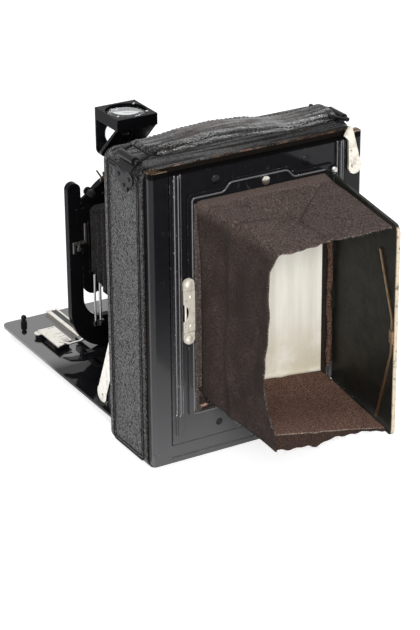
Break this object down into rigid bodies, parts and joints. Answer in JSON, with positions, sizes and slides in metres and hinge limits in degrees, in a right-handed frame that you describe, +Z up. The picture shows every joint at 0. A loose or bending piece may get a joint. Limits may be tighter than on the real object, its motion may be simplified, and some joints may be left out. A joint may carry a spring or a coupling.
{
  "type": "folding plate camera",
  "caption": "Upright folding plate camera with its bed down: lens standard on tracks, pleated bellows, leather covered body, and a focusing back whose cloth hood stands open.",
  "frame": {"origin": "middle of the base the camera stands on, under the leather covered box", "axes": "+Z up; -Y towards the subject, along the bed and the lens axis; +Y back, the focusing side; +X the side with the focusing scale"},
  "size_m": [0.1198, 0.2508, 0.1609],
  "materials": {
    "wood": "bare wood stained black inside",
    "leather": "fine grained black leather, brownish where worn",
    "strap": "worn handle leather with a dusty sheen",
    "black_enamel": "gloss black enamel, chipped to bright metal at edges",
    "black_satin": "satin black paint",
    "nickel": "worn nickel plate, slightly yellowed",
    "bright_steel": "polished steel",
    "brass": "tarnished brass",
    "cloth": "dark brown dusty cloth",
    "felt": "pinkish brown felt",
    "bellows_leather": "thin black pleated leather",
    "ground": "ground on one face",
    "clear": "polished lens glass",
    "silvered": "silvered"
  },
  "bodies": {
    "camera_body": {"body_shell": "wood", "leather_cover": "leather", "base_leather": "leather", "rear_gate": "black_satin", "left_rail": "black_enamel", "right_rail": "black_enamel", "bottom_rail": "black_enamel", "latch_screw": "nickel", "handle_strap": "strap", "strap_loops": "black_enamel", "strap_anchors": "black_enamel", "tripod_bushes": "brass", "bed_plate": "black_enamel", "bed_leather": "leather", "bed_hinges": "black_enamel", "bed_pins": "nickel", "bed_braces": "nickel", "bed_tracks": "nickel", "bed_stud": "black_enamel", "scale_plate": "nickel", "scale_block": "black_enamel", "bellows": "bellows_leather"},
    "latch": {"back_latch": "nickel"},
    "focusing_back": {"focusing_frame": "black_enamel", "hood_base": "black_enamel", "ground_glass": "ground", "glass_clips": "nickel", "hood_felt": "felt", "hood_roll": "cloth", "frame_screws": "black_enamel", "catch_lugs": "nickel", "lid_hinge_pin": "bright_steel", "hood_top_cloth": "cloth", "hood_side_cloth": "cloth", "hood_bottom_cloth": "cloth"},
    "catch_plate": {"side_catch": "nickel"},
    "release_button": {"lid_button": "nickel"},
    "lid": {"hood_lid": "black_enamel", "lid_springs": "brass"},
    "standard": {"carriage": "black_enamel", "upright_frame": "black_enamel", "board_clips": "nickel", "bellows_frame": "black_satin", "rise_rods": "bright_steel", "distance_pointer": "nickel"},
    "thumb_lever": {"clamp_lever": "black_enamel"},
    "rising_front": {"lens_board": "black_enamel", "shutter_case": "black_enamel", "front_cell": "black_satin", "rear_cell": "black_satin", "lens_glasses": "clear", "finder_pivot": "nickel"},
    "front_lock": {"rise_knob": "bright_steel"},
    "speed_setting": {"speed_dial": "nickel"},
    "aperture_setting": {"aperture_ring": "nickel"},
    "release": {"release_lever": "brass"},
    "cocking": {"cocking_lever": "brass"},
    "finder": {"finder_case": "black_enamel", "finder_glasses": "clear", "finder_mirror": "silvered"}
  },
  "joints": [
    {"name": "back_slide", "type": "slide", "parent": "camera_body", "child": "focusing_back", "axis": [0, 0, 1], "range_m": [0, 0.138]},
    {"name": "latch_turn", "type": "hinge", "parent": "camera_body", "child": "latch", "pos_m": [-0.0514, 0.0243, 0.1361], "axis": [0, -1, 0], "range_deg": [0, 35]},
    {"name": "lid_hinge", "type": "hinge", "parent": "focusing_back", "child": "lid", "pos_m": [-0.0396, 0.0265, 0.0817], "axis": [0, 0, -1], "range_deg": [0, 81.4], "deforming": ["hood_top_cloth", "hood_side_cloth", "hood_bottom_cloth", "hood_roll"]},
    {"name": "button_press", "type": "slide", "parent": "focusing_back", "child": "release_button", "axis": [0, -1, 0], "range_m": [0, 0.0012], "stiffness_N_per_m": 1500},
    {"name": "catch_rock", "type": "hinge", "parent": "focusing_back", "child": "catch_plate", "pos_m": [0.0409, 0.0262, 0.0819], "axis": [0, 0, -1], "range_deg": [0, 12], "stiffness_Nm_per_rad": 0.05},
    {"name": "lens_slide", "type": "slide", "parent": "camera_body", "child": "standard", "axis": [0, 1, 0], "range_m": [-0.04, 0.093], "deforming": ["bellows"]},
    {"name": "clamp_turn", "type": "hinge", "parent": "standard", "child": "thumb_lever", "pos_m": [0.026, -0.086, 0.0122], "axis": [0, 0, 1], "range_deg": [-5, 20]},
    {"name": "front_rise", "type": "slide", "parent": "standard", "child": "rising_front", "axis": [0, 0, 1], "range_m": [0, 0.003]},
    {"name": "front_lock_turn", "type": "hinge", "parent": "rising_front", "child": "front_lock", "pos_m": [0.0282, -0.092, 0.0984], "axis": [0, 1, 0], "range_deg": [0, 90]},
    {"name": "speed_turn", "type": "hinge", "parent": "rising_front", "child": "speed_setting", "pos_m": [0, -0.1125, 0.096], "axis": [0, 1, 0], "range_deg": [-150, 150]},
    {"name": "aperture_turn", "type": "hinge", "parent": "rising_front", "child": "aperture_setting", "pos_m": [0, -0.1123, 0.074], "axis": [0, 1, 0], "range_deg": [-30, 30]},
    {"name": "release_press", "type": "hinge", "parent": "rising_front", "child": "release", "pos_m": [0.0204, -0.0977, 0.0964], "axis": [0, 1, 0], "range_deg": [0, 12], "stiffness_Nm_per_rad": 0.02},
    {"name": "cocking_turn", "type": "hinge", "parent": "rising_front", "child": "cocking", "pos_m": [0.0154, -0.0967, 0.0994], "axis": [0, -1, 0], "range_deg": [0, 12], "stiffness_Nm_per_rad": 0.02},
    {"name": "finder_tilt", "type": "hinge", "parent": "rising_front", "child": "finder", "pos_m": [0.0068, -0.0901, 0.12], "axis": [0, -1, 0], "range_deg": [0, 90]}
  ]
}
